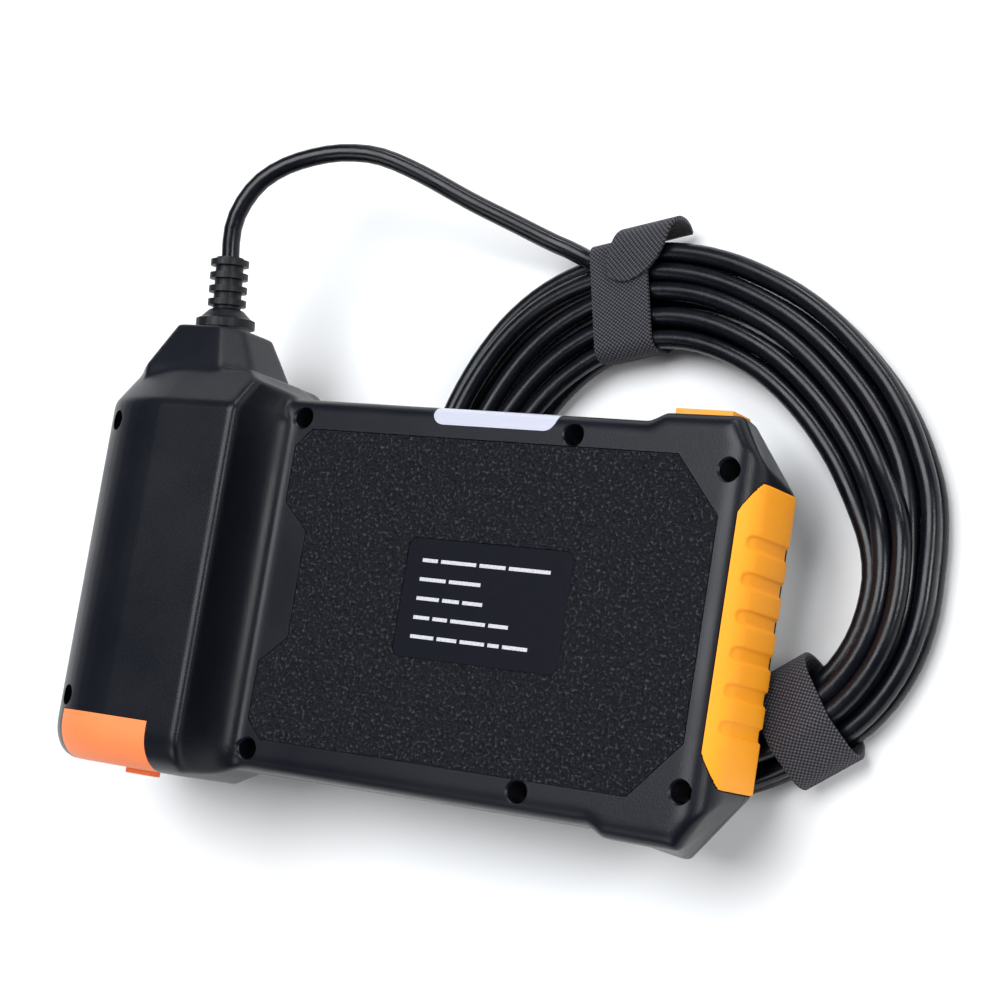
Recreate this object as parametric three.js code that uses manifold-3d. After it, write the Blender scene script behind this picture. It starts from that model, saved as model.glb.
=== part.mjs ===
// Handheld inspection camera: a screen handset with a battery handle, lying face down on its
// coiled camera cable. Millimetres, +Z up.
//
// Handset coordinates used below: x runs from the handle end to the grip end, y towards the
// cable gland, z from the screen face (0) to the back. The whole assembly is then moved so
// that the origin is the centre of the handset's box.
import * as THREE from 'three';
import { mergeVertices } from 'three/addons/utils/BufferGeometryUtils.js';
import { ConvexGeometry } from 'three/addons/geometries/ConvexGeometry.js';
import Module from 'manifold-3d';

const wasm = await Module();
wasm.setup();

// ---- Driving dimensions -------------------------------------------------------------------
const LENGTH = 180.5;            // handle end to grip end
const HALF_WIDTH = 45.3;         // plate
const HANDLE_LOW = 48.9;         // lower end of the handle
const HANDLE_HIGH = 49.5;        // upper end of the handle, where the neck starts
const PLATE = 23;                // screen face to the plate's back face
const BULGE = 39;                // screen face to the handle's back face
const WALL = 2.2;
const EDGE_ROUND = 3.5;          // edges of the plate
const END_ROUND = 7;             // back edge of the grip end
const PARTING = 5.5;             // seam between the two shells
const SEAM = 0.3;                // gap at a seam between two pieces
const PANEL_DEPTH = 1.2;
const GRIP_DEPTH = 1.2;
const GRIP_PROUD = 0.35;
const BOSS_RADIUS = 3.4;
const COUNTERBORE_RADIUS = 2.55;
const SCREW_HEAD_RADIUS = 2.25;
const SCREW_RADIUS = 1.3;
const CABLE_RADIUS = 2.25;
const COIL_CENTRE = [142.5, 20];
const FLOOR = -16;               // the surface that the coil lies on
const TIE_TOP = -0.4;            // the handset rests just above the lower tie
const TIE_THICKNESS = 1.2;
const TIE_WIDTH = 15;
const ORIGIN = [90.4, 16.1, 19.05]; // centre of the handset's box

// Plate screws, then the two at the handle's outer edge: x, y and the seat of the head.
const SCREWS = [
  [58.4, 40, 13], [58.4, -40, 13], [134, 40, 13], [134, -40, 13],
  [174, 34.6, 12], [174, -34.6, 12], [10.8, 34.2, 22], [10.8, -34.0, 22],
];

// ---- Materials ----------------------------------------------------------------------------
function plastic(color, roughness) {
  return new THREE.MeshStandardMaterial({ color, roughness, metalness: 0 });
}

function metal(color, roughness) {
  return new THREE.MeshStandardMaterial({ color, roughness, metalness: 1 });
}

const MATERIALS = {
  shell: plastic(0x1d1f26, 0.5),
  panel: plastic(0x2a2c33, 0.7),
  label: plastic(0x1c1e24, 0.55),
  orange: plastic(0xf7a035, 0.55),
  peach: plastic(0xf59a5e, 0.6),
  window: plastic(0xeceaf6, 0.35),
  rubber: plastic(0x17181c, 0.6),
  cable: plastic(0x15161b, 0.4),
  webbing: plastic(0x6c6a73, 0.9),
  glass: plastic(0x0b0d12, 0.08),
  board: plastic(0x1f5a3a, 0.6),
  cell: plastic(0x2d5fa8, 0.45),
  grey: plastic(0x8d9096, 0.6),
  key: plastic(0x3a3c43, 0.6),
  steel: metal(0xb9bcc2, 0.3),
};

// ---- Solids and booleans ------------------------------------------------------------------
function solid(geometry) {
  const bare = geometry.index ? geometry.toNonIndexed() : geometry.clone();
  bare.deleteAttribute('normal');
  bare.deleteAttribute('uv');
  const merged = mergeVertices(bare, 1e-4);
  return new wasm.Manifold(new wasm.Mesh({
    numProp: 3,
    vertProperties: merged.attributes.position.array,
    triVerts: new Uint32Array(merged.index.array),
  }));
}

function geometryOf(manifold) {
  const mesh = manifold.getMesh();
  const geometry = new THREE.BufferGeometry();
  geometry.setAttribute('position', new THREE.BufferAttribute(mesh.vertProperties, 3));
  geometry.setIndex(new THREE.BufferAttribute(mesh.triVerts, 1));
  return geometry;
}

function union(...solids) {
  return solids.reduce((sum, next) => sum.add(next));
}

function shapeOf(points) {
  return new THREE.Shape(points.map(([x, y]) => new THREE.Vector2(x, y)));
}

// Moves each edge of a counter-clockwise outline inwards by the inset.
function insetOutline(points, inset) {
  const count = points.length;
  const edges = points.map(([x, y], i) => {
    const [nx, ny] = points[(i + 1) % count];
    const length = Math.hypot(nx - x, ny - y);
    const direction = [(nx - x) / length, (ny - y) / length];
    return { at: [x - direction[1] * inset, y + direction[0] * inset], direction };
  });
  return points.map((_, i) => {
    const a = edges[(i + count - 1) % count];
    const b = edges[i];
    const cross = a.direction[0] * b.direction[1] - a.direction[1] * b.direction[0];
    if (Math.abs(cross) < 1e-6) return b.at;
    const dx = b.at[0] - a.at[0];
    const dy = b.at[1] - a.at[1];
    const t = (dx * b.direction[1] - dy * b.direction[0]) / cross;
    return [a.at[0] + a.direction[0] * t, a.at[1] + a.direction[1] * t];
  });
}

// Prism of an x, y outline between two heights.
function prismZ(points, low, high) {
  const geometry = new THREE.ExtrudeGeometry(shapeOf(points), { depth: high - low, bevelEnabled: false });
  return solid(geometry.translate(0, 0, low));
}

// Prism of an x, z outline between two values of y.
function prismY(points, low, high) {
  const geometry = new THREE.ExtrudeGeometry(shapeOf(points), { depth: high - low, bevelEnabled: false });
  return solid(geometry.rotateX(Math.PI / 2).translate(0, high, 0));
}

function block([x0, x1], [y0, y1], [z0, z1]) {
  const geometry = new THREE.BoxGeometry(x1 - x0, y1 - y0, z1 - z0);
  return solid(geometry.translate((x0 + x1) / 2, (y0 + y1) / 2, (z0 + z1) / 2));
}

function rodZ(x, y, radius, low, high, sides = 20) {
  const geometry = new THREE.CylinderGeometry(radius, radius, high - low, sides);
  return solid(geometry.rotateX(Math.PI / 2).translate(x, y, (low + high) / 2));
}

function rodY(x, z, radius, low, high, sides = 24) {
  const geometry = new THREE.CylinderGeometry(radius, radius, high - low, sides);
  return solid(geometry.translate(x, (low + high) / 2, z));
}

function widened([low, high], gap) {
  return [low - gap, high + gap];
}

function roundedRectangle(x0, x1, y0, y1, radius) {
  const shape = new THREE.Shape();
  shape.moveTo(x0 + radius, y0);
  shape.lineTo(x1 - radius, y0);
  shape.absarc(x1 - radius, y0 + radius, radius, -Math.PI / 2, 0);
  shape.absarc(x1 - radius, y1 - radius, radius, 0, Math.PI / 2);
  shape.absarc(x0 + radius, y1 - radius, radius, Math.PI / 2, Math.PI);
  shape.absarc(x0 + radius, y0 + radius, radius, Math.PI, 1.5 * Math.PI);
  return shape.extractPoints(3).shape.map((p) => [p.x, p.y]);
}

// ---- The handset's outer form -------------------------------------------------------------
// Plan outline, counter-clockwise from the handle's lower corner: front x, y, then back x, y.
// The sides draw in towards the back, and the grip end's corners fan out.
const OUTLINE = [
  [0, -36, 0, -36], [0.9, -41.8, 0.9, -41.8], [3.6, -46.3, 3.6, -46.3],
  [8, -HANDLE_LOW, 8, -HANDLE_LOW], [37, -HANDLE_LOW, 47.5, -HANDLE_LOW], [42, -47.3, 51, -47.2],
  [46.5, -45.5, 55, -45], [150, -HALF_WIDTH, 151.5, -44.8], [154, -45.9, 153.3, -45.6],
  [158, -47.2, 155.5, -46.8], [168.2, -48.7, 174, -47], [LENGTH, -33.2, LENGTH, -36.4],
  [LENGTH, 33.2, LENGTH, 36.4], [168.2, 48.7, 174, 47], [158, 47.2, 155.5, 46.8],
  [154, 45.9, 153.3, 45.6], [150, HALF_WIDTH, 151.5, 44.8], [53, HALF_WIDTH, 54, 45],
  [48.6, 47, 49.2, 47.2], [45.5, HANDLE_HIGH, 46, HANDLE_HIGH], [6.4, HANDLE_HIGH, 6.4, HANDLE_HIGH],
  [0.7, 42, 0.7, 42], [0, 38, 0, 38],
];

function outlineAt(z) {
  const t = THREE.MathUtils.clamp((z - 4) / 15, 0, 1);
  return OUTLINE.map(([fx, fy, bx, by]) => [fx + (bx - fx) * t, fy + (by - fy) * t]);
}

// The grip end seen along y: a wide round on the back edge, a small one on the front.
function endProfile(inset) {
  const back = Math.max(END_ROUND - inset, 0.5);
  const front = Math.max(EDGE_ROUND - inset, 0.5);
  const shape = new THREE.Shape();
  const x = LENGTH - inset;
  shape.moveTo(-20, inset);
  shape.lineTo(x - front, inset);
  shape.absarc(x - front, inset + front, front, -Math.PI / 2, 0);
  shape.absarc(x - back, PLATE - inset - back, back, 0, Math.PI / 2);
  shape.lineTo(-20, PLATE - inset);
  return shape.extractPoints(4).shape.map((p) => [p.x, p.y]);
}

// Closed solid through rings of equal point counts, each an x, y outline at its own height.
function loft(levels) {
  const points = levels.flatMap(([z, outline]) => outline.map(([x, y]) => [x, y, z]));
  const count = levels[0][1].length;
  const faces = [];
  for (let row = 0; row + 1 < levels.length; row += 1) {
    for (let i = 0; i < count; i += 1) {
      const j = (i + 1) % count;
      const [a, b] = [row * count + i, row * count + j];
      faces.push([a, b, b + count], [a, b + count, a + count]);
    }
  }
  const ends = [0, levels.length - 1].map((row) => capOf(levels[row][1], row * count));
  faces.push(...ends[0].map(([a, b, c]) => [a, c, b]), ...ends[1]);
  const geometry = new THREE.BufferGeometry();
  geometry.setAttribute('position', new THREE.Float32BufferAttribute(points.flat(), 3));
  geometry.setIndex(faces.flat());
  return solid(geometry);
}

function capOf(outline, first) {
  const contour = outline.map(([x, y]) => new THREE.Vector2(x, y));
  return THREE.ShapeUtils.triangulateShape(contour, []).map((face) => face.map((i) => i + first));
}

function plateForm(inset) {
  const round = Math.max(EDGE_ROUND - inset, 0.4);
  const levels = [];
  for (let i = 0; i <= 3; i += 1) {
    const angle = (i / 3) * (Math.PI / 2);
    levels.push([inset + round * (1 - Math.sin(angle)), inset + round * (1 - Math.cos(angle))]);
  }
  const front = levels.toSorted((p, q) => p[0] - q[0]);
  const back = levels.map(([z, step]) => [PLATE - z, step]).toSorted((p, q) => p[0] - q[0]);
  const all = [...front, ...back].map(([z, step]) => [z, insetOutline(outlineAt(z), step)]);
  return loft(all).intersect(prismY(endProfile(inset), -60, 60));
}

// The handle's back seen along y: a broad crowned back, a ridge, and a hollow flank that runs
// out on the plate.
function bulgePoints(inset) {
  const top = BULGE - inset;
  const low = PLATE - 0.6 - inset;
  const path = new THREE.Path();
  path.moveTo(inset, 17);
  path.bezierCurveTo(inset, 28.5 - inset * 0.6, 9 + inset * 0.6, 38.5 - inset, 27, top);
  path.lineTo(48.6 - inset, top);
  path.quadraticCurveTo(49.9 - inset, top, 50.2 - inset, 37.2 - inset);
  path.bezierCurveTo(50.9 - inset, 28, 53 - inset, low + 0.8, 57.5 - inset, low);
  return path.getPoints(9).map((p) => [p.x, p.y]);
}

// How far the back falls towards the handle's two ends: a round one below, a slope above.
const LOW_ROUND = 9;
const SLOPE_START = 38.6;
const SLOPE = 0.86;

function bulgeStations(inset) {
  const stations = [];
  const steps = 6;
  const radius = LOW_ROUND - inset;
  for (let i = 0; i <= steps; i += 1) {
    const angle = (Math.PI / 2) * (1 - i / steps) * 0.97;
    stations.push([-HANDLE_LOW + LOW_ROUND - radius * Math.sin(angle), radius * (1 - Math.cos(angle))]);
  }
  stations.push([0, 0], [SLOPE_START - inset * 0.4, 0]);
  stations.push([SLOPE_START + 1 - inset * 0.4, SLOPE * 0.5]);
  stations.push([HANDLE_HIGH - inset, SLOPE * (HANDLE_HIGH - SLOPE_START - inset * 0.6 - 0.5)]);
  return stations;
}

function bulgeForm(inset) {
  const columns = bulgePoints(inset);
  const rows = bulgeStations(inset);
  const geometry = new THREE.BoxGeometry(1, 1, 1, columns.length - 1, rows.length - 1, 1);
  const position = geometry.attributes.position;
  for (let i = 0; i < position.count; i += 1) {
    const column = columns[Math.round((position.getX(i) + 0.5) * (columns.length - 1))];
    const row = rows[Math.round((position.getY(i) + 0.5) * (rows.length - 1))];
    const top = Math.max(column[1] - row[1], 12);
    position.setXYZ(i, column[0], row[0], position.getZ(i) > 0 ? top : 10);
  }
  return solid(geometry).intersect(prismZ(insetOutline(outlineAt(PLATE), inset), 5, 60));
}

// The neck that carries the cable gland: an eight-sided funnel.
function eightSides([x0, x1], [z0, z1], cut, y) {
  const corners = [
    [x0 + cut, z1], [x1 - cut, z1], [x1, z1 - cut], [x1, z0 + cut],
    [x1 - cut, z0], [x0 + cut, z0], [x0, z0 + cut], [x0, z1 - cut],
  ];
  return corners.map(([x, z]) => new THREE.Vector3(x, y, z));
}

const NECK_TOP = 61.2;

function neckForm(inset) {
  const base = eightSides([6.6 + inset, 42 - inset], [2.5 + inset, 30.6 - inset], 6.5, HANDLE_HIGH - 8);
  const foot = eightSides([6.6 + inset, 42 - inset], [2.5 + inset, 30.6 - inset], 6.5, HANDLE_HIGH);
  const top = eightSides([13 + inset, 34.6 - inset], [6 + inset, 26.2 - inset], 4.5, NECK_TOP);
  return solid(new ConvexGeometry([...base, ...foot, ...top]));
}

function handsetForm(inset) {
  return union(plateForm(inset), bulgeForm(inset), neckForm(inset));
}

// ---- Regions cut out of the form ----------------------------------------------------------
const PANEL_OUTLINE = [
  [57.6, -33], [61.8, -37.2], [161.2, -37.2], [172.9, -24.4], [172.9, 24.4], [161.2, 37.2],
  [61.8, 37.2], [57.6, 33], [57.6, 19.3], [65, 12.8], [65, -12.8], [57.6, -19.3],
];
const LABEL = { x: [95.1, 139.4], y: [-13.75, 13.75], radius: 2.2, depth: 0.6 };

// The grip in plan: straight across the plate, with its two corners cut off.
const GRIP = { inner: 177, corner: 25.8, half: 33, low: 1.8 };

function gripRegion(extra) {
  const edge = GRIP.half + extra;
  const half = [[GRIP.inner - extra, GRIP.corner + extra / 2], [LENGTH - 0.1 - extra, edge], [190, edge]];
  const points = [...half.map(([x, y]) => [x, -y]), ...half.toReversed()];
  return prismZ(points, GRIP.low - extra, 40);
}

const WINDOW = { x: [95.6, 129], inner: 40.4 };

function windowRegion(extra) {
  const points = roundedRectangle(WINDOW.x[0] - extra, WINDOW.x[1] + extra, WINDOW.inner - extra, 60, 3);
  return prismZ(points, 12 - extra, 40);
}

const FLAP = { x: [10.4, 40.4], top: -37.4, low: 15.6, thickness: 1.4 };

function flapRegion(extra) {
  const x = [FLAP.x[0] - extra, FLAP.x[1] + extra];
  return block(x, [-60, FLAP.top + extra], [FLAP.low - extra, 60]);
}

const TOP_BUTTON = { x: [155.4, 169.6], z: [8.2, 16.6], top: 48.6 };

// ---- Shells -------------------------------------------------------------------------------
function bosses() {
  return union(...SCREWS.map(([x, y]) => rodZ(x, y, BOSS_RADIUS, 1, 38, 16)));
}

function counterbores() {
  return union(...SCREWS.map(([x, y, seat]) => union(
    rodZ(x, y, COUNTERBORE_RADIUS, seat, 60, 20),
    rodZ(x, y, SCREW_RADIUS + 0.3, -1, seat + 1, 12),
  )));
}

function pilotHoles() {
  return union(...SCREWS.map(([x, y]) => rodZ(x, y, SCREW_RADIUS + 0.2, 1.3, 12, 12)));
}

function handsetHollow() {
  return union(plateForm(WALL), bulgeForm(WALL), neckForm(WALL)).subtract(bosses());
}

const outerForm = handsetForm(0);
const hollowForm = handsetHollow();
const hollowShell = outerForm.subtract(hollowForm);
const coverDepth = handsetForm(1.5);
const GLAND = { x: 24.5, z: 17.2, radius: 3.9 };

function cutGripAndCovers(shell) {
  const grip = gripRegion(SEAM).subtract(plateForm(GRIP_DEPTH + SEAM));
  const flap = flapRegion(SEAM).subtract(coverDepth);
  const light = windowRegion(SEAM).subtract(coverDepth);
  return shell.subtract(union(grip, flap, light));
}

function rearShell() {
  const above = block([-10, 200], [-60, 70], [PARTING + SEAM, 50]);
  const panel = prismZ(insetOutline(PANEL_OUTLINE, -SEAM), PLATE - PANEL_DEPTH, PLATE + 3);
  const light = block([99, 125.6], [38, 60], [14, 19.5]);
  const button = block(widened(TOP_BUTTON.x, SEAM), [40, 60], widened(TOP_BUTTON.z, SEAM));
  const gland = rodY(GLAND.x, GLAND.z, GLAND.radius + SEAM, 40, 70);
  const usb = block([15.1, 23.7], [-60, -40], [17.4, 21.3]);
  const ports = union(usb, block([24.7, 38.3], [-60, -40], [17.4, 20.3]));
  return cutGripAndCovers(hollowShell.intersect(above))
    .subtract(union(counterbores(), panel, light, button, gland, ports));
}

const SCREEN = { x: [60, 169], y: [-35.5, 35.5], opening: 4.5, thickness: 1 };
const KEYS = [
  ['power_key', 27, 29, 4], ['up_key', 27, 12, 3.6], ['down_key', 27, -12, 3.6],
  ['back_key', 15.2, 0, 3.6], ['menu_key', 38.8, 0, 3.6], ['select_key', 27, 0, 4.6],
  ['record_key', 17, -27, 3.8], ['lamp_key', 37, -27, 3.8],
];

function frontShell() {
  const below = block([-10, 200], [-60, 70], [-1, PARTING]);
  const glass = prismZ(roundedRectangle(...widened(SCREEN.x, SEAM), ...widened(SCREEN.y, SEAM), 3), -1, 1.3);
  const view = prismZ(roundedRectangle(SCREEN.x[0] + SCREEN.opening, SCREEN.x[1] - SCREEN.opening,
    SCREEN.y[0] + SCREEN.opening, SCREEN.y[1] - SCREEN.opening, 1), -1, 4);
  const keys = union(...KEYS.map(([, x, y, radius]) => rodZ(x, y, radius + SEAM, -1, 4, 20)));
  return cutGripAndCovers(hollowShell.intersect(below)).subtract(union(pilotHoles(), glass, view, keys));
}

// ---- Covers and trim ----------------------------------------------------------------------
function rearPanel() {
  const panel = prismZ(PANEL_OUTLINE, PLATE - PANEL_DEPTH + 0.2, PLATE);
  const [x, y] = [LABEL.x, LABEL.y];
  const outline = roundedRectangle(...widened(x, 0.15), ...widened(y, 0.15), LABEL.radius);
  const pocket = prismZ(outline, PLATE - LABEL.depth, PLATE + 1);
  return panel.subtract(pocket);
}

function labelPlate() {
  const points = roundedRectangle(LABEL.x[0], LABEL.x[1], LABEL.y[0], LABEL.y[1], LABEL.radius);
  return prismZ(points, PLATE - LABEL.depth + 0.12, PLATE - 0.15);
}

const GRIP_GROOVE = { count: 6, pitch: 7.95, width: 3.2, depth: 1, end: 180.9 };

// A groove across the grip with one round end, as an x, y outline.
function grooveOutline(y) {
  const half = GRIP_GROOVE.width / 2;
  const shape = new THREE.Shape();
  shape.moveTo(190, y - half);
  shape.lineTo(190, y + half);
  shape.lineTo(GRIP_GROOVE.end, y + half);
  shape.absarc(GRIP_GROOVE.end, y, half, Math.PI / 2, 1.5 * Math.PI);
  return shape.extractPoints(4).shape.map((p) => [p.x, p.y]).reverse();
}

function sideGrip() {
  const band = plateForm(-GRIP_PROUD).subtract(plateForm(GRIP_DEPTH)).intersect(gripRegion(0));
  const grooves = [];
  for (let i = 0; i < GRIP_GROOVE.count; i += 1) {
    const y = (i - (GRIP_GROOVE.count - 1) / 2) * GRIP_GROOVE.pitch;
    grooves.push(prismZ(grooveOutline(y), -2, 30));
  }
  return band.subtract(union(...grooves).subtract(plateForm(GRIP_DEPTH - GRIP_GROOVE.depth)));
}

function topWindow() {
  return outerForm.subtract(handsetForm(1.2)).intersect(windowRegion(0));
}

function portFlap() {
  const cover = outerForm.subtract(handsetForm(FLAP.thickness - 0.2)).intersect(flapRegion(0));
  const tab = block([21.4, 29.4], [-HANDLE_LOW - 1.4, -HANDLE_LOW + 0.8], [17.4, 21.4]);
  return union(cover, tab);
}

function topButton() {
  const [x0, x1] = TOP_BUTTON.x;
  const [z0, z1] = TOP_BUTTON.z;
  const cap = block([x0, x1], [43, TOP_BUTTON.top], [z0, z1]);
  const flange = block([x0 - 0.8, x1 + 0.8], [42.2, 43.4], [z0 - 1, z1 + 1]);
  return union(cap, flange);
}

function screwSolid([x, y, seat]) {
  const head = rodZ(x, y, SCREW_HEAD_RADIUS, seat + 0.1, seat + 1.8, 20);
  const shank = rodZ(x, y, SCREW_RADIUS, 1.8, seat + 0.5, 10);
  const slots = union(
    block([x - 1.4, x + 1.4], [y - 0.3, y + 0.3], [seat + 0.9, seat + 3]),
    block([x - 0.3, x + 0.3], [y - 1.4, y + 1.4], [seat + 0.9, seat + 3]),
  );
  return union(head, shank).subtract(slots);
}

// ---- Turned and lathed pieces -------------------------------------------------------------
function lathe(profile, segments) {
  return new THREE.LatheGeometry(profile.map(([r, h]) => new THREE.Vector2(r, h)), segments);
}

// A key cap with a retaining flange behind the front wall.
function keyGeometry([, x, y, radius]) {
  const cap = [[0, -0.9], [radius - 0.6, -0.9], [radius, -0.4], [radius, 2.5]];
  const profile = [...cap, [radius + 0.9, 2.5], [radius + 0.9, 3.4], [0, 3.4]];
  const geometry = lathe(profile, 20);
  return geometry.rotateX(Math.PI / 2).translate(x, y, 0);
}

const BOOT = { bore: CABLE_RADIUS + 0.35, flange: 7.4, ribs: 4, pitch: 3.35, length: 17.8 };

// The cable's strain relief: a flange on the neck, a short cone and four ribs.
function bootGeometry() {
  const flange = [[BOOT.bore, 0], [3.4, 0], [BOOT.flange, 0], [BOOT.flange, 2]];
  const profile = [...flange, [6.2, 2.6], [4.4, 4.4], [3.5, 4.8]];
  for (let rib = 0; rib < BOOT.ribs; rib += 1) {
    const foot = 5.6 + rib * BOOT.pitch;
    profile.push([3.5, foot - 0.1], [4.8, foot], [4.8, foot + 1.5], [3.5, foot + 1.6]);
  }
  profile.push([3.4, BOOT.length], [BOOT.bore, BOOT.length], [BOOT.bore, 0]);
  return lathe(profile, 32);
}

// ---- Cable, coil and ties -----------------------------------------------------------------
// The lead from the boot to the coil, and the tail from the coil to the camera head.
const LEAD = [
  [23.7, 80.2, 19], [23.6, 84.4, 19.7], [24.1, 88.8, 20.3], [25.9, 93.8, 20.4], [29.4, 99.8, 19.3],
  [35.4, 104.6, 17.4], [43.2, 108, 14.6], [50, 109.4, 12.2], [57.8, 109.2, 9.4], [67.8, 106, 5.8],
  [81.6, 100, 1.6], [92.4, 95.8, -2.6], [98.4, 93.4, -5],
];
const TAIL = [
  [112.5, -15.5, -12.5], [107.9, -11.9, -12.4], [105.4, -6.5, -12.3], [105.5, -0.6, -12.2],
  [107.7, 4.9, -12.1], [111.7, 9.3, -12], [117, 12.1, -11.9], [122.8, 13, -11.9], [127.6, 12.7, -11.9],
];
const HEAD = { at: [131, 12.4, -11.9], radius: 4, length: 34, turn: -0.08 };

function tubeGeometry(points, steps) {
  const curve = new THREE.CatmullRomCurve3(points.map((p) => new THREE.Vector3(...p)));
  const circle = new THREE.Shape();
  circle.absarc(0, 0, CABLE_RADIUS, 0, Math.PI * 2);
  const options = { steps, extrudePath: curve, curveSegments: 4, bevelEnabled: false };
  return new THREE.ExtrudeGeometry(circle, options);
}

// Stations round the coil: angle, radius, half width and half height of the bundle. The turns
// lie flat and loose at the far side, and are gathered by the lower tie.
const COIL = [
  [-60, 51.8, 7.4, 7.2], [-42, 55.4, 7.3, 7.2], [-28, 59.2, 7, 7], [-14, 60.7, 7.3, 6.6],
  [4, 59.6, 9.2, 6], [28, 56.8, 11.4, 5.2], [50, 55.8, 11.7, 4.7], [74, 57.6, 12, 4.5],
  [94, 60.6, 12.8, 4.5], [112, 62.6, 14, 4.5], [130, 63, 15.2, 4.5], [148, 61.6, 14.6, 4.5],
  [168, 60.6, 12.4, 5.4], [192, 59, 9.5, 6.6], [218, 57.6, 8, 7.2], [245, 54.4, 7.5, 7.2],
  [272, 51.6, 7.4, 7.2],
];

const coilPath = new THREE.CatmullRomCurve3(COIL.map(([angle, radius, , height]) => {
  const turn = THREE.MathUtils.degToRad(angle);
  const [x, y] = [COIL_CENTRE[0] + radius * Math.cos(turn), COIL_CENTRE[1] + radius * Math.sin(turn)];
  return new THREE.Vector3(x, y, FLOOR + height);
}), true);
const coilSize = new THREE.CatmullRomCurve3(COIL.map(([, , w, h]) => new THREE.Vector3(w, h, 0)), true);

function coilStation(u) {
  const centre = coilPath.getPoint(u % 1);
  const ahead = coilPath.getPoint((u + 0.002) % 1).sub(centre);
  const size = coilSize.getPoint(u % 1);
  return { centre, heading: Math.atan2(ahead.y, ahead.x), width: size.x, height: size.y };
}

function coilRing() {
  const steps = 72;
  const sides = 12;
  const points = [];
  const faces = [];
  for (let row = 0; row < steps; row += 1) {
    const { centre, heading, width, height } = coilStation(row / steps);
    for (let i = 0; i < sides; i += 1) {
      const angle = ((i + 0.5) / sides) * Math.PI * 2;
      const out = width * squarish(Math.cos(angle));
      const up = height * squarish(Math.sin(angle));
      points.push(centre.x + out * Math.sin(heading), centre.y - out * Math.cos(heading), centre.z + up);
      const [a, b] = [row * sides + i, row * sides + ((i + 1) % sides)];
      const [c, d] = [a, b].map((corner) => (corner + sides) % (steps * sides));
      faces.push(a, c, b, b, c, d);
    }
  }
  const geometry = new THREE.BufferGeometry();
  geometry.setAttribute('position', new THREE.Float32BufferAttribute(points, 3));
  geometry.setIndex(faces);
  return solid(geometry);
}

function squarish(value) {
  return Math.sign(value) * Math.min(1, Math.abs(value) ** 0.75 * 1.03);
}

// A flat tie round the bundle: its place along the coil, and its folded end where it has one.
const TIES = [
  { name: 'upper_tie', at: 8.76 / 17, fold: true },
  { name: 'lower_tie', at: 1.2 / 17, fold: false },
];

function tieBand(tie, extra) {
  const { centre, heading, width, height } = coilStation(tie.at);
  const half = width + 0.2 + TIE_THICKNESS;
  const top = tie.fold ? FLOOR + 2 * height + 2 * TIE_THICKNESS : TIE_TOP;
  const inner = TIE_THICKNESS + extra;
  const outer = roundedRectangle(-half - extra, half + extra, FLOOR - extra, top + extra, 4);
  const hole = roundedRectangle(-half + inner, half - inner, FLOOR + inner, top - inner, 3);
  const shape = shapeOf(outer);
  shape.holes.push(new THREE.Path(hole.map(([x, y]) => new THREE.Vector2(x, y))));
  const length = TIE_WIDTH + 2 * extra;
  const geometry = new THREE.ExtrudeGeometry(shape, { depth: length, bevelEnabled: false });
  geometry.rotateX(Math.PI / 2).translate(0, length / 2, 0).rotateZ(heading - Math.PI / 2);
  const band = solid(geometry.translate(centre.x, centre.y, 0));
  return tie.fold && extra === 0 ? band.add(foldedEnd(centre, heading, top)) : band;
}

// The tie's round-tipped end, folded back over its own top.
function foldedEnd(centre, heading, top) {
  const tip = new THREE.Shape();
  tip.moveTo(15.4, -7.4);
  tip.lineTo(15.4, 7.4);
  tip.lineTo(7, 7.4);
  tip.absarc(7, 0, 7.4, Math.PI / 2, 1.5 * Math.PI);
  const points = tip.extractPoints(5).shape.map((p) => [p.x, p.y]).reverse();
  const options = { depth: TIE_THICKNESS + 0.1, bevelEnabled: false };
  const geometry = new THREE.ExtrudeGeometry(shapeOf(points), options);
  geometry.rotateZ(heading - Math.PI / 2 - 0.3);
  return solid(geometry.translate(centre.x, centre.y, top - 0.1));
}

function coilSolid() {
  return coilRing().subtract(union(...TIES.map((tie) => tieBand(tie, SEAM))));
}

// ---- Pieces inside the handset ------------------------------------------------------------
function batteryCradle() {
  return block([14.5, 37.5], [-28, 37], [9, 21]).subtract(rodY(26, 24.5, 9.6, -40, 50, 20));
}

function keyMat() {
  const [upper, lower] = SCREWS.slice(6).map(([x, y]) => rodZ(x, y, BOSS_RADIUS + 0.4, 0, 9, 12));
  return block([9, 45], [-33, 34.4], [4.2, 5.2]).subtract(union(upper, lower));
}

// ---- Assembly -----------------------------------------------------------------------------
const assembly = new THREE.Group();
assembly.position.set(-ORIGIN[0], -ORIGIN[1], -ORIGIN[2]);

function put(name, geometry, material, parent = assembly) {
  const mesh = new THREE.Mesh(geometry, MATERIALS[material]);
  mesh.name = name;
  parent.add(mesh);
  return mesh;
}

function putSolid(name, manifold, material) {
  return put(name, geometryOf(manifold.simplify(0.01)), material);
}

putSolid('rear_shell', rearShell(), 'shell');
putSolid('front_shell', frontShell(), 'shell');
putSolid('rear_panel', rearPanel(), 'panel');
putSolid('label_plate', labelPlate(), 'label');
putSolid('side_grip', sideGrip(), 'orange');
putSolid('top_window', topWindow(), 'window');
putSolid('port_flap', portFlap(), 'peach');
putSolid('top_button', topButton(), 'orange');
SCREWS.forEach((screw, i) => putSolid(`screw_${i + 1}`, screwSolid(screw), 'steel'));

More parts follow.
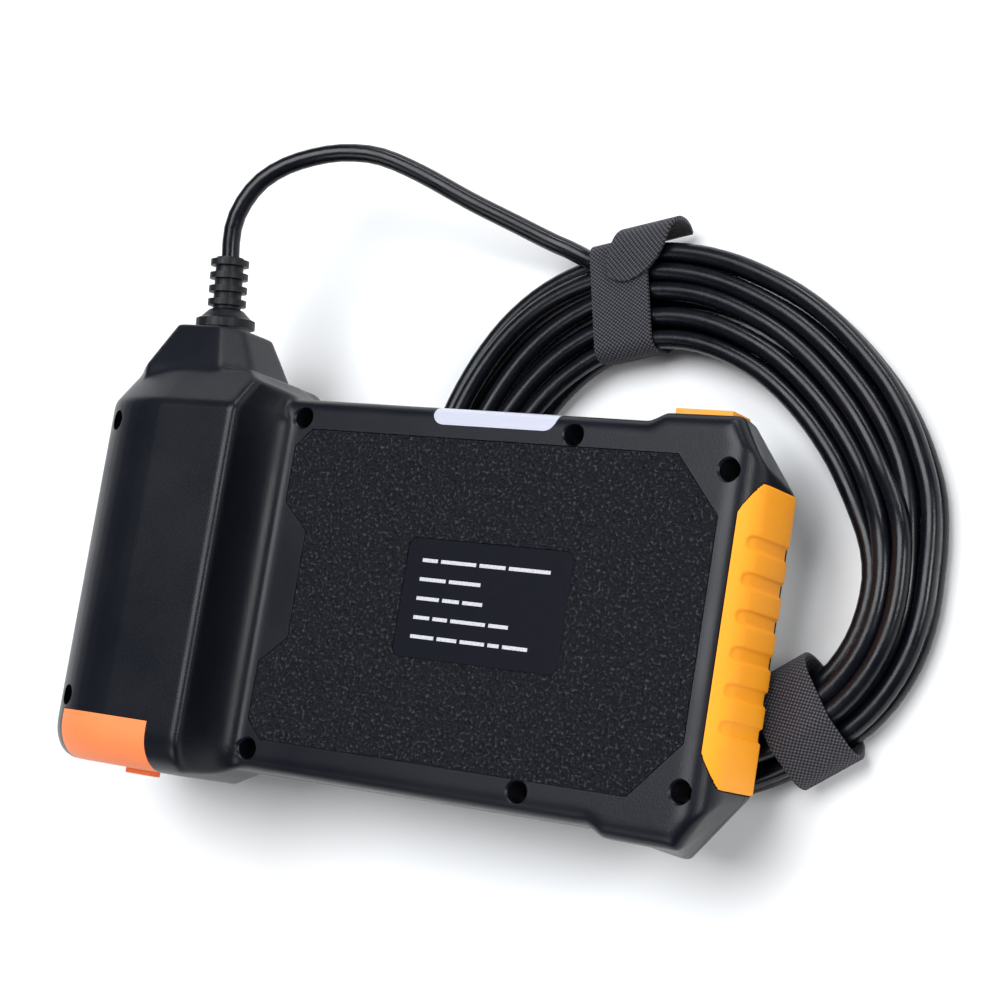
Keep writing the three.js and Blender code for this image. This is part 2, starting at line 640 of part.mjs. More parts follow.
const screenOutline = roundedRectangle(SCREEN.x[0], SCREEN.x[1], SCREEN.y[0], SCREEN.y[1], 3);
putSolid('screen_glass', prismZ(screenOutline, 0.1, 1.1), 'glass');
putSolid('lcd_module', block([62, 167.5], [-33.6, 33.6], [2.7, 5.6]), 'grey');
KEYS.forEach((key) => put(key[0], keyGeometry(key), 'key'));
putSolid('key_mat', keyMat(), 'rubber');
putSolid('main_board', block([62, 168], [-33, 33], [9.6, 11.2]), 'board');
putSolid('battery_cell', rodY(26, 24.5, 9.2, -27, 36), 'cell');
putSolid('battery_cradle', batteryCradle(), 'grey');
putSolid('port_board', block([14.8, 40], [-45, -30], [15.8, 17.4]), 'board');
putSolid('usb_socket', block([15.4, 23.4], [-45.4, -40.4], [17.7, 21]), 'steel');
putSolid('card_socket', block([25, 38], [-45.4, -31], [17.7, 20]), 'steel');
putSolid('top_switch', block([159.2, 165.6], [37.4, 40.9], [9.6, 15.4]), 'grey');
putSolid('light_board', block([98, 127], [37.4, 38.6], [9, 19.6]), 'board');
putSolid('cable_plug', block([45.6, 55], [22, 30], [12, 17]), 'grey');

const gland = new THREE.Group();
gland.position.set(GLAND.x, NECK_TOP + 1.1, GLAND.z);
gland.rotation.set(0.1, 0, 0.045);
assembly.add(gland);
put('cable_boot', bootGeometry(), 'rubber', gland);

put('cable_lead', tubeGeometry(LEAD, 44), 'cable');
putSolid('cable_coil', coilSolid(), 'cable');
put('cable_tail', tubeGeometry(TAIL, 20), 'cable');
TIES.forEach((tie) => putSolid(tie.name, tieBand(tie, 0), 'webbing'));

// The camera head lies on the surface inside the coil: ferrule, steel barrel, lamp ring, lens.
const head = new THREE.Group();
head.position.set(...HEAD.at);
head.rotation.set(0, 0, HEAD.turn - Math.PI / 2);
assembly.add(head);
put('head_ferrule', lathe([[0, -2.6], [2.4, -2.6], [3.4, -0.6], [3.4, 0], [0, 0]], 20), 'rubber', head);
const barrel = [
  [0, 0.3], [3.6, 0.3], [HEAD.radius, 0.8], [HEAD.radius, HEAD.length],
  [3.3, HEAD.length], [3.3, 30], [0, 30],
];
put('camera_head', lathe(barrel, 28), 'steel', head);
const lampRing = [[1.9, 30.3], [3, 30.3], [3, 33.2], [1.9, 33.2], [1.9, 30.3]];
put('head_lamp_ring', lathe(lampRing, 24), 'window', head);
put('head_lens', lathe([[0, 30.3], [1.6, 30.3], [1.6, 33.4], [0, 33.4]], 20), 'glass', head);

export default assembly;
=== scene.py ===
# The inspection camera's looks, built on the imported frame. Metres, row frame.
import math

import bmesh
import bpy
from mathutils import Matrix, Vector


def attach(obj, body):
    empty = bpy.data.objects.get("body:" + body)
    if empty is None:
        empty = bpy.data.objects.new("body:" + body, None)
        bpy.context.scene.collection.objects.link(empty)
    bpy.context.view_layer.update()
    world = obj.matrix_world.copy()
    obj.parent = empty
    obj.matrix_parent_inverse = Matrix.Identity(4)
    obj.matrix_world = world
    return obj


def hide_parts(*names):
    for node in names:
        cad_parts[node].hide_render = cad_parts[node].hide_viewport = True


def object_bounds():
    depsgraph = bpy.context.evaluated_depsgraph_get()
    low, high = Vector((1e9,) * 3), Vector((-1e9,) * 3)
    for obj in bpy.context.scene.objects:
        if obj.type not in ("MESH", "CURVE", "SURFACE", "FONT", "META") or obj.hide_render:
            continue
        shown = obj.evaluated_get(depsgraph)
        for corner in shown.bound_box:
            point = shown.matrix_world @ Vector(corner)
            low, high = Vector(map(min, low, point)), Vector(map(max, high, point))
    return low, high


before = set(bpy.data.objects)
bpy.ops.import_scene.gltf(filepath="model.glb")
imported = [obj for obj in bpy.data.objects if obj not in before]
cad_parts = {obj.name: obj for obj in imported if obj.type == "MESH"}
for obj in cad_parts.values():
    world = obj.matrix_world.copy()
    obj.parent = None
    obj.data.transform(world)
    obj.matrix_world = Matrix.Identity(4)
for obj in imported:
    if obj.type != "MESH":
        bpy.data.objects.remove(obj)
cad_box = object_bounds()

MM = 0.001
ORIGIN = Vector((90.4, 16.1, 19.05))  # the row frame's origin on the handset's own axes, mm


def row(x, y, z):
    """A point on the handset's axes, in millimetres, as a point of the row frame in metres."""
    return (Vector((x, y, z)) - ORIGIN) * MM


def clamp(value, low=0.0, high=1.0):
    return max(low, min(high, value))


def smooth(value):
    value = clamp(value)
    return value * value * (3 - 2 * value)


def lerp(a, b, t):
    return a + (b - a) * t


# ---- Camera ----------------------------------------------------------------------------------
CAMERA_PLACE = (0.32104, -0.05716, 0.45368)
CAMERA_RIGHT = (0.8369, 0.1594, -0.5236)
CAMERA_AHEAD = (-0.5429, 0.1202, -0.8312)


def place_camera():
    right = Vector(CAMERA_RIGHT).normalized()
    ahead = Vector(CAMERA_AHEAD).normalized()
    up = right.cross(ahead)
    camera = bpy.data.objects.new("Camera", bpy.data.cameras.new("Camera"))
    camera.matrix_world = Matrix((
        (right.x, up.x, -ahead.x, CAMERA_PLACE[0]),
        (right.y, up.y, -ahead.y, CAMERA_PLACE[1]),
        (right.z, up.z, -ahead.z, CAMERA_PLACE[2]),
        (0, 0, 0, 1),
    ))
    camera.data.lens = 86.4
    camera.data.sensor_width = 36
    camera.data.clip_start = 0.01
    bpy.context.scene.collection.objects.link(camera)
    bpy.context.scene.camera = camera


place_camera()


# ---- Materials -------------------------------------------------------------------------------
class Nodes:
    """A short way to write a procedural material round one Principled shader."""

    def __init__(self, name, colour, roughness, **sockets):
        self.material = bpy.data.materials.new(name)
        self.material.use_nodes = True
        self.tree = self.material.node_tree
        self.shader = self.tree.nodes["Principled BSDF"]
        self.shader.inputs["Base Color"].default_value = (*colour, 1)
        self.shader.inputs["Roughness"].default_value = roughness
        for socket, value in sockets.items():
            self.shader.inputs[socket.replace("_", " ")].default_value = value
        self.place = self.add("TexCoord").outputs["Object"]
        self.normal = None

    def add(self, kind, **values):
        node = self.tree.nodes.new("ShaderNode" + kind)
        for key, value in values.items():
            if key in node.inputs:
                node.inputs[key].default_value = value
            else:
                setattr(node, key, value)
        return node

    def link(self, start, end):
        self.tree.links.new(start, end)

    def noise(self, scale, detail=2.0, roughness=0.5):
        node = self.add("TexNoise", Scale=scale, Detail=detail, Roughness=roughness)
        self.link(self.place, node.inputs["Vector"])
        return node.outputs["Fac"]

    def cells(self, scale, feature="F1", vector=None):
        node = self.add("TexVoronoi", Scale=scale, feature=feature)
        self.link(vector or self.place, node.inputs["Vector"])
        return node.outputs["Distance"]

    def math(self, operation, a, b=0.0, c=0.0):
        node = self.add("Math", operation=operation)
        for slot, value in enumerate((a, b, c)):
            if isinstance(value, (int, float)):
                node.inputs[slot].default_value = value
            else:
                self.link(value, node.inputs[slot])
        return node.outputs[0]

    def ramp(self, value, low, high, start=0.0, end=1.0):
        node = self.add("MapRange")
        for slot, number in zip(("From Min", "From Max", "To Min", "To Max"), (low, high, start, end)):
            node.inputs[slot].default_value = number
        self.link(value, node.inputs["Value"])
        return node.outputs["Result"]

    def bump(self, height, distance, strength=1.0):
        """Adds a bump of that height in metres on top of the earlier ones."""
        node = self.add("Bump", Strength=strength, Distance=distance)
        self.link(height, node.inputs["Height"])
        if self.normal:
            self.link(self.normal, node.inputs["Normal"])
        self.normal = node.outputs["Normal"]
        self.link(self.normal, self.shader.inputs["Normal"])

    def tint(self, amount, other):
        """Mixes another colour into the base by amount."""
        node = self.add("Mix", data_type="RGBA")
        base = self.shader.inputs["Base Color"]
        if base.is_linked:
            self.link(base.links[0].from_socket, node.inputs[6])
        else:
            node.inputs[6].default_value = base.default_value
        node.inputs[7].default_value = (*other, 1)
        self.link(amount, node.inputs[0])
        self.link(node.outputs[2], base)

    def vary_roughness(self, scale, low, high):
        roughness = self.ramp(self.noise(scale, 3.0), 0.3, 0.7, low, high)
        self.link(roughness, self.shader.inputs["Roughness"])

    def worn(self, colour, radius=0.0006, amount=0.5):
        """Rubs the sharp edges to a paler colour."""
        bevel = self.add("Bevel", Radius=radius, samples=4)
        geometry = self.add("NewGeometry")
        dot = self.add("VectorMath", operation="DOT_PRODUCT")
        self.link(bevel.outputs["Normal"], dot.inputs[0])
        self.link(geometry.outputs["Normal"], dot.inputs[1])
        edge = self.ramp(dot.outputs["Value"], 0.98, 0.75, 0.0, amount)
        patchy = self.ramp(self.noise(260, 4), 0.42, 0.62)
        self.tint(self.math("MULTIPLY", edge, patchy), colour)


def moulded(name, colour, roughness, grain=2600, depth=0.00003, **sockets):
    """Moulded plastic with a fine spark-eroded texture and slight changes in sheen."""
    nodes = Nodes(name, colour, roughness, **sockets)
    nodes.vary_roughness(45, roughness - 0.05, roughness + 0.06)
    nodes.bump(nodes.noise(grain, 3, 0.6), depth)
    return nodes


def shell_material():
    nodes = moulded("shell_black", (0.0034, 0.0042, 0.008), 0.34, depth=0.00004, Specular_IOR_Level=0.26)
    nodes.tint(nodes.ramp(nodes.noise(24, 4), 0.4, 0.75, 0.0, 0.4), (0.0075, 0.0085, 0.013))
    nodes.worn((0.04, 0.041, 0.05), amount=0.3)
    return nodes.material


def panel_material():
    """Leather-like pebble grain: rounded cells between shallow creases, with painted glints as lighter
    specks.
    """
    nodes = Nodes("panel_grain", (0.0026, 0.003, 0.0062), 0.4, Specular_IOR_Level=0.26)
    warp = nodes.add("Mix", data_type="VECTOR")
    noise = nodes.add("TexNoise", Scale=700, Detail=2)
    nodes.link(nodes.place, noise.inputs["Vector"])
    warp.inputs[0].default_value = 0.0012
    nodes.link(nodes.place, warp.inputs[4])
    nodes.link(noise.outputs["Color"], warp.inputs[5])
    cells = nodes.cells(950, "SMOOTH_F1", warp.outputs[1])
    crease_and_glint_noise = nodes.noise(1250, 4, 0.62)
    nodes.bump(nodes.math("MULTIPLY", cells, -1.0), 0.0006, 1.0)
    nodes.bump(crease_and_glint_noise, 0.0011, 1.0)
    # Painted glints: lighter specks where the crease noise is high stand in for specular glints on the
    # grain.
    nodes.tint(nodes.ramp(crease_and_glint_noise, 0.55, 0.66, 0.0, 0.9), (0.06, 0.066, 0.085))
    nodes.vary_roughness(500, 0.36, 0.56)
    return nodes.material


def rubber_material(name, colour, shade):
    nodes = moulded(name, colour, 0.52, grain=1800, depth=0.00005, Specular_IOR_Level=0.3)
    nodes.tint(nodes.ramp(nodes.noise(35, 5), 0.35, 0.8, 0.0, 0.3), shade)
    nodes.tint(nodes.ramp(nodes.noise(900, 2), 0.62, 0.72, 0.0, 0.25), shade)
    return nodes.material


def cable_material():
    """Satin jacket with faint drawn lines and dust."""
    nodes = Nodes("cable_jacket", (0.0026, 0.003, 0.0056), 0.25, Specular_IOR_Level=0.32)
    nodes.vary_roughness(160, 0.22, 0.33)
    nodes.bump(nodes.noise(900, 2), 0.00002)
    nodes.tint(nodes.ramp(nodes.noise(3200, 1), 0.68, 0.76, 0.0, 0.25), (0.05, 0.05, 0.055))
    return nodes.material


WARP_PITCH = 0.0011
WEFT_PITCH = 0.00095


def webbing_material():
    """Woven hook-and-loop tape: fine ribs both ways, with a painted highlight on the raised threads."""
    nodes = Nodes("webbing_weave", (0.009, 0.009, 0.0125), 0.8, Sheen_Weight=0.08, Sheen_Roughness=0.5,
                  Specular_IOR_Level=0.25)
    uv = nodes.add("UVMap")
    uv.uv_map = "weave"
    split = nodes.add("SeparateXYZ")
    nodes.link(uv.outputs["UV"], split.inputs[0])
    across = nodes.math("SINE", nodes.math("MULTIPLY", split.outputs[0], 2 * math.pi / WARP_PITCH))
    along = nodes.math("SINE", nodes.math("MULTIPLY", split.outputs[1], 2 * math.pi / WEFT_PITCH))
    weave = nodes.math("MULTIPLY", across, along)
    ribs = nodes.math("ADD", weave, nodes.math("MULTIPLY", nodes.noise(2600, 3), 0.8))
    nodes.bump(ribs, 0.00016, 0.9)
    # Painted highlight: the raised ribs are made paler to stand in for light catching the thread tops.
    nodes.tint(nodes.ramp(ribs, 0.25, 0.95, 0.0, 0.85), (0.105, 0.103, 0.125))
    nodes.tint(nodes.ramp(nodes.noise(2200, 3), 0.5, 0.7, 0.0, 0.4), (0.03, 0.03, 0.034))
    return nodes.material


def hook_material():
    """The tape's black hooked side."""
    nodes = Nodes("webbing_hooks", (0.012, 0.012, 0.014), 0.85, Sheen_Weight=0.2)
    nodes.bump(nodes.cells(2400), 0.0003, 0.9)
    return nodes.material


def label_material():
    """A matt plate with a faint laminate grain."""
    nodes = Nodes("label_matt", (0.0045, 0.005, 0.0095), 0.42, Specular_IOR_Level=0.08)
    nodes.vary_roughness(300, 0.42, 0.58)
    nodes.bump(nodes.noise(1900, 2), 0.00002)
    return nodes.material


def window_material():
    nodes = Nodes("window_white", (0.52, 0.53, 0.62), 0.28, Subsurface_Weight=0.25,
                  Subsurface_Radius=(0.002,) * 3, Coat_Weight=0.3)
    nodes.tint(nodes.ramp(nodes.noise(60, 2), 0.35, 0.8, 0.0, 0.25), (0.56, 0.56, 0.66))
    nodes.bump(nodes.noise(700, 2), 0.00001)
    return nodes.material


def metal_material(name, colour, roughness):
    nodes = Nodes(name, colour, roughness, Metallic=1.0)
    nodes.vary_roughness(700, roughness - 0.08, roughness + 0.12)
    nodes.bump(nodes.noise(2200, 2), 0.00002)
    return nodes.material


def glass_material(name, colour):
    nodes = Nodes(name, colour, 0.06, Coat_Weight=0.6, Coat_Roughness=0.03)
    nodes.tint(nodes.ramp(nodes.noise(90, 3), 0.5, 0.8, 0.0, 0.2), (0.02, 0.022, 0.03))
    nodes.bump(nodes.noise(200, 1), 0.000004)
    return nodes.material


def board_material():
    nodes = Nodes("board_green", (0.01, 0.07, 0.03), 0.4)
    tracks = nodes.ramp(nodes.cells(420, "DISTANCE_TO_EDGE"), 0.0, 0.06, 1.0, 0.0)
    nodes.tint(tracks, (0.05, 0.2, 0.08))
    nodes.bump(tracks, 0.00005)
    return nodes.material


SHELL = shell_material()
PANEL = panel_material()
GRIP_RUBBER = rubber_material("grip_orange", (1.0, 0.37, 0.012), (0.88, 0.29, 0.01))
# The flap is the same orange rubber as the grip; its peachier, paler colour is painted light.
FLAP = rubber_material("flap_orange_with_painted_light", (1.0, 0.26, 0.085), (0.86, 0.2, 0.06))
BUTTON = rubber_material("button_orange", (0.95, 0.37, 0.05), (0.85, 0.3, 0.035))
CABLE = cable_material()
WEBBING = webbing_material()
HOOKS = hook_material()
LABEL = label_material()
WINDOW = window_material()
BOOT = moulded("boot_rubber", (0.0045, 0.005, 0.0075), 0.46, grain=1500, depth=0.00006,
               Specular_IOR_Level=0.3).material
KEY = moulded("key_black", (0.02, 0.02, 0.024), 0.5, grain=1600, depth=0.00004).material
GREY = moulded("frame_grey", (0.12, 0.12, 0.125), 0.5).material
CELL = moulded("cell_blue", (0.03, 0.09, 0.3), 0.35).material
STEEL = metal_material("screw_steel", (0.09, 0.09, 0.095), 0.36)
BARREL = metal_material("barrel_steel", (0.62, 0.62, 0.64), 0.24)
GLASS = glass_material("screen_glass", (0.006, 0.007, 0.01))
LENS = glass_material("lens_glass", (0.01, 0.012, 0.03))
BOARD = board_material()

LOOKS = {
    SHELL: "rear_shell front_shell",
    PANEL: "rear_panel",
    LABEL: "label_plate",
    GRIP_RUBBER: "side_grip",
    FLAP: "port_flap",
    BUTTON: "top_button",
    WINDOW: "top_window head_lamp_ring",
    BOOT: "cable_boot key_mat head_ferrule",
    KEY: "power_key up_key down_key back_key menu_key select_key record_key lamp_key",
    GREY: "lcd_module battery_cradle top_switch cable_plug",
    CELL: "battery_cell",
    STEEL: " ".join("screw_%d" % i for i in range(1, 9)) + " usb_socket card_socket",
    BARREL: "camera_head",
    GLASS: "screen_glass",
    LENS: "head_lens",
    BOARD: "main_board port_board light_board",
}


def dress(name, material):
    """Gives a CAD node its material."""
    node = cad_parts[name]
    for slot in node.material_slots:
        slot.material = material
    if not node.material_slots:
        node.data.materials.append(material)


for material, names in LOOKS.items():
    for name in names.split():
        dress(name, material)


def soften(name, width):
    """Rounds a CAD node's edges without changing its mesh."""
    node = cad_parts[name]
    flat = node.modifiers.new("flat", "DECIMATE")
    flat.decimate_type = "DISSOLVE"
    flat.angle_limit = math.radians(0.6)
    bevel = node.modifiers.new("edge", "BEVEL")
    bevel.width = width * MM
    bevel.segments = 2
    bevel.limit_method = "ANGLE"
    bevel.angle_limit = math.radians(28)
    bevel.harden_normals = True
    for polygon in node.data.polygons:
        polygon.use_smooth = True
    node.modifiers.new("normals", "WEIGHTED_NORMAL").keep_sharp = True


# ---- Cable -----------------------------------------------------------------------------------
# Lengths in millimetres on the handset's axes.
CABLE_RADIUS = 2.25
FLOOR = -16.0  # the surface that the coil lies on
COIL_CENTRE = (142.5, 20.0)
HEAD_AT = (131.0, 12.4, -11.9)  # the camera head's near end
HEAD_TURN = -0.08  # its heading, radians
STRANDS = 10  # side by side and in layers, at any station
JOIN = 113.0  # the angle round the coil at which the lead comes in
LEAVE = -121.5  # and at which the tail goes out, after nine turns more
TAIL_STRAIGHT = 3.0  # the last stretch, in line with the head
SHIFT = (-72.0, -150.0)  # each turn moves to the next place in the bundle between these angles
LIFT = 1.3  # the ties pass under the bundle
STEP_ANGLE = 7.5  # between the coil's own points, degrees
SPACING = 3.6  # between the points of the finished line

LEAD = [
    (23.7, 80.2, 19.0), (23.6, 84.4, 19.7), (24.1, 88.8, 20.3), (25.9, 93.8, 20.4), (29.4, 99.8, 19.3),
    (35.4, 104.6, 17.4), (43.2, 108, 14.6), (50, 109.4, 12.2), (57.8, 109.2, 9.4), (67.8, 106, 5.8),
    (81.6, 100, 1.6), (92.4, 95.8, -2.6), (101.6, 92.2, -6.0), (107.6, 90.2, -7.4),
]

# Stations round the coil: angle, radius, half width and half height of the bundle.
COIL = [
    (-60, 51.8, 7.4, 7.2), (-42, 55.4, 7.3, 7.2), (-28, 59.2, 7, 7), (-14, 60.7, 7.3, 6.6),
    (4, 59.6, 9.2, 6), (28, 56.8, 11.4, 5.2), (50, 55.8, 11.7, 4.7), (74, 57.6, 12, 4.5),
    (94, 60.6, 12.8, 4.5), (112, 62.6, 14, 4.5), (130, 63, 15.2, 4.5), (148, 61.6, 14.6, 4.5),
    (168, 60.6, 12.4, 5.4), (192, 59, 9.5, 6.6), (218, 57.6, 8, 7.2), (245, 54.4, 7.5, 7.2),
    (272, 51.6, 7.4, 7.2),
]


def spline(a, b, c, d, t):
    """Catmull-Rom between b and c."""
    square = 2 * a - 5 * b + 4 * c - d
    cube = 3 * b - a - 3 * c + d
    return 0.5 * (2 * b + (c - a) * t + square * t * t + cube * t ** 3)


def coil_station(angle):
    """(radius, half width) of the bundle at an angle in degrees."""
    angle = (angle + 60) % 360 - 60
    count = len(COIL)
    angles = [COIL[i % count][0] + 360 * (i // count) for i in range(-1, count + 3)]
    index = max(i for i in range(count) if COIL[i][0] <= angle)
    start, end = angles[index + 1], angles[index + 2]
    rows = [COIL[(index + step) % count] for step in (-1, 0, 1, 2)]
    t = (angle - start) / (end - start)
    return tuple(spline(*(entry[column] for entry in rows), t) for column in (1, 2))


# Places in the bundle, from the lead's to the tail's. Laid flat: a place across and a layer.
FLAT = [(2, 1), (2, 0), (1, 0), (1, 1), (0, 1), (0, 0), (-1, 0), (-1, 1), (-2, 1), (-2, 0)]
# Gathered: a place across and a row of three.
ROUND = [
    (1.5, 1), (1.5, 0), (0.5, 0), (0.5, 1), (0.5, 2),
    (-0.5, 0), (-0.5, 1), (-0.5, 2), (-1.5, 1), (-1.5, 0),
]


def place_in_bundle(index, angle, half_width):
    """(outward, up) of one place in the bundle, from its centre line and the surface."""
    gathered = smooth((11.4 - half_width) / 2.2)
    flat = max(2 * CABLE_RADIUS, (half_width - CABLE_RADIUS) / 2)
    tight = max(4.25, (half_width - CABLE_RADIUS) / 1.5)
    across, layer = FLAT[index]
    slow = math.sin(math.radians(angle * 2 + index * 67))
    quick = math.sin(math.radians(angle * 3 + index * 131))
    wander = 0.22 * slow + 0.16 * quick
    loose = clamp((flat - 2 * CABLE_RADIUS) / 1.4)
    flat_out = across * flat + wander * (0.6 + 2.2 * loose)
    flat_up = CABLE_RADIUS * (1 + 2 * layer)
    round_across, round_row = ROUND[index]
    round_out = round_across * tight
    round_up = CABLE_RADIUS + round_row * 4.4
    return lerp(flat_out, round_out, gathered), lerp(flat_up, round_up, gathered)


def coil_point(turned):
    """The cable's centre after turning that many degrees clockwise from the join."""
    angle = JOIN - turned
    half_width = coil_station(angle)[1]
    passed = (SHIFT[0] - angle) / 360
    whole = math.floor(passed) if passed > 0 else -1
    share = smooth((passed - whole) * 360 / (SHIFT[0] - SHIFT[1])) if whole >= 0 else 0
    index = min(STRANDS - 1, max(0, whole))
    following = min(STRANDS - 1, index + 1) if whole >= 0 else 0
    first = place_in_bundle(index, angle, half_width)
    second = place_in_bundle(following, angle, half_width)
    out, up = (lerp(a, b, share) for a, b in zip(first, second))
    radius = coil_station(angle)[0] + out
    turn = math.radians(angle)
    x = COIL_CENTRE[0] + radius * math.cos(turn)
    y = COIL_CENTRE[1] + radius * math.sin(turn)
    return Vector((x, y, FLOOR + LIFT + up))


def tail_points():
    """Out of the coil in one easy bend to the head's ferrule."""
    start = coil_point(JOIN - LEAVE + 360 * (STRANDS - 1))
    heading = math.radians(LEAVE - 90)
    rise = HEAD_AT[1] - TAIL_STRAIGHT * math.sin(HEAD_TURN) - start.y
    bend = rise / (math.cos(HEAD_TURN) - math.cos(heading))
    centre = start + bend * Vector((math.sin(heading), -math.cos(heading), 0))
    centre.z = 0
    points = []
    steps = 14
    total = (heading % (2 * math.pi)) - HEAD_TURN
    for step in range(1, steps + 1):
        angle = heading - total * step / steps
        level = lerp(start.z, HEAD_AT[2], smooth(step / steps))
        points.append(centre + Vector((-bend * math.sin(angle), bend * math.cos(angle), level)))
    return points


def smooth_line(points, spacing):
    """Points evenly spaced on a smooth curve through the given ones."""
    dense = []
    ends = [2 * points[0] - points[1], *points, 2 * points[-1] - points[-2]]
    for i in range(len(points) - 1):
        for step in range(12):
            four = ends[i:i + 4]
            dense.append(Vector(spline(*(point[axis] for point in four), step / 12) for axis in range(3)))
    dense.append(points[-1])
    line = [dense[0]]
    run = 0.0
    for before, after in zip(dense, dense[1:]):
        gap = (after - before).length
        while run + gap >= spacing:
            before = before + (after - before) * ((spacing - run) / gap)
            gap = (after - before).length
            run = 0.0
            line.append(before)
        run += gap
    line.append(dense[-1])
    return line


def cable_line():
    """The whole cable's centre line, from the boot to the head, in metres."""
    route = [Vector(point) for point in LEAD]
    total = JOIN - LEAVE + 360 * (STRANDS - 1)
    count = round(total / STEP_ANGLE)
    route += [coil_point(total * step / count) for step in range(count + 1)]
    route += tail_points()
    route.append(Vector(HEAD_AT) - 2 * Vector((math.cos(HEAD_TURN), math.sin(HEAD_TURN), 0)))
    return [row(*point) for point in smooth_line(route, SPACING)]


def line_length(points):
    return sum((b - a).length for a, b in zip(points, points[1:]))


def build_cable():
    points = cable_line()
    curve = bpy.data.curves.new("camera_cable", "CURVE")
    curve.dimensions = "3D"
    curve.bevel_depth = CABLE_RADIUS * MM
    curve.bevel_resolution = 6
    curve.use_fill_caps = True
    line = curve.splines.new("POLY")
    line.points.add(len(points) - 1)
    for point, place in zip(line.points, points):
        point.co = (*place, 1)
    line.use_smooth = True
    cable = bpy.data.objects.new("camera_cable", curve)
    bpy.context.scene.collection.objects.link(cable)
    curve.materials.append(CABLE)
    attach(cable, "handset")
    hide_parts("cable_lead", "cable_coil", "cable_tail")
    return cable


build_cable()


# ---- Ties ------------------------------------------------------------------------------------
TIE_WIDTH = 15.0
TIE_THICKNESS = 1.0
UPPER_ANGLE = 107.6  # where each tie goes round the coil, degrees
LOWER_ANGLE = -39.0
TONGUE_SLANT = -0.48
TONGUE_SHIFT = -1.1


def ring_point(angle):
    """The bundle's middle at an angle, from the coil's centre."""
    radius = coil_station(angle)[0]
    turn = math.radians(angle)
    return Vector((radius * math.cos(turn), radius * math.sin(turn), 0))


def tie_frame(angle):
    """(centre, heading, outward) where a tie goes round the bundle."""
    here, later = (ring_point(place) for place in (angle, angle + 1))
    heading = (later - here).normalized()
    centre = Vector((COIL_CENTRE[0], COIL_CENTRE[1], 0)) + here
    outward = Vector((heading.y, -heading.x, 0))
    return centre, heading, outward


def hull_round(circles, clearance, steps=72):
    """A loop round circles (x, y, radius), clearance away, as points at equal angles of support."""
    loop = []
    for step in range(steps):
        angle = 2 * math.pi * step / steps
        direction = Vector((math.cos(angle), math.sin(angle)))
        best = max(circles, key=lambda c: Vector((c[0], c[1])).dot(direction) + c[2])
        loop.append(Vector((best[0], best[1])) + direction * (best[2] + clearance))
    return loop


def strip_mesh(name, path, widths, place):
    """A tape along a path of (across, up) points; widths gives (low, high) along the cable at each."""
    mesh = bpy.data.meshes.new(name)
    form = bmesh.new()
    layer = form.loops.layers.uv.new("weave")
    columns = 9
    rows = []
    run = 0.0
    runs = []
    for i, (across, up) in enumerate(path):
        if i:
            run += (Vector(path[i]) - Vector(path[i - 1])).length
        runs.append(run)
        low, high = widths(i)
        along = [lerp(low, high, k / (columns - 1)) for k in range(columns)]
        rows.append([form.verts.new(place(across, part, up)) for part in along])
    for i in range(len(rows) - 1):
        for k in range(columns - 1):
            face = form.faces.new((rows[i][k], rows[i][k + 1], rows[i + 1][k + 1], rows[i + 1][k]))
            face.smooth = True
            for loop, (r, c) in zip(face.loops, ((i, k), (i, k + 1), (i + 1, k + 1), (i + 1, k))):
                low, high = widths(r)
                loop[layer].uv = (lerp(low, high, c / (columns - 1)) * MM, runs[r] * MM)
    form.to_mesh(mesh)
    form.free()
    return mesh, run


def finish_tie(name, mesh, node):
    tie = bpy.data.objects.new(name, mesh)
    bpy.context.scene.collection.objects.link(tie)
    mesh.materials.append(WEBBING)
    mesh.materials.append(HOOKS)
    thick = tie.modifiers.new("thickness", "SOLIDIFY")
    thick.thickness = TIE_THICKNESS * MM
    thick.offset = 0
    thick.material_offset = 1
    thick.material_offset_rim = 0
    edge = tie.modifiers.new("edge", "BEVEL")
    edge.width = 0.25 * MM
    edge.segments = 2
    edge.limit_method = "ANGLE"
    edge.angle_limit = math.radians(50)
    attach(tie, "handset")
    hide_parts(node)
    return tie


def strands_at(angle):
    """The strands' centres (outward, up) where the bundle passes an angle."""
    half_width = coil_station(angle)[1]
    return [(*place_in_bundle(i, angle, half_width), CABLE_RADIUS) for i in range(STRANDS)]


def upper_tie_paths():
    """The band round the flat bundle, and the tongue that comes back over its top."""
    loop = hull_round(strands_at(UPPER_ANGLE), 0.75)
    start = 14  # just past the top, at the inner side
    path = [tuple(loop[(start + i) % len(loop)]) for i in range(len(loop) + 1)]
    top = max(up for across, up in path)
    tongue = [(14.6, 0.6), (15.8, 3.4), (16.2, 6.4), (15.8, 9.0), (14.0, top + 1.4), (11.4, top + 1.9),
              (8.2, top + 1.6), (5.2, top + 1.15), (2.6, top + 1.0)]
    return path, tongue


def full_width(_):
    return -TIE_WIDTH / 2, TIE_WIDTH / 2


def tie_place(centre, heading, outward, slant=0.0, shift=0.0):
    """Turns (across, along, up) at a tie into a point of the row frame."""
    def place(across, along, up):
        point = centre + outward * across + heading * (along + slant * across + shift)
        return row(point.x, point.y, FLOOR + LIFT + up)
    return place


def resample(path, count):
    points = [Vector((x, y, 0)) for x, y in path]
    length = line_length(points)
    line = smooth_line(points, length / count)
    return [(p.x, p.y) for p in line]


def join_meshes(first, second):
    form = bmesh.new()
    form.from_mesh(first)
    form.from_mesh(second)
    form.to_mesh(first)
    form.free()
    return first


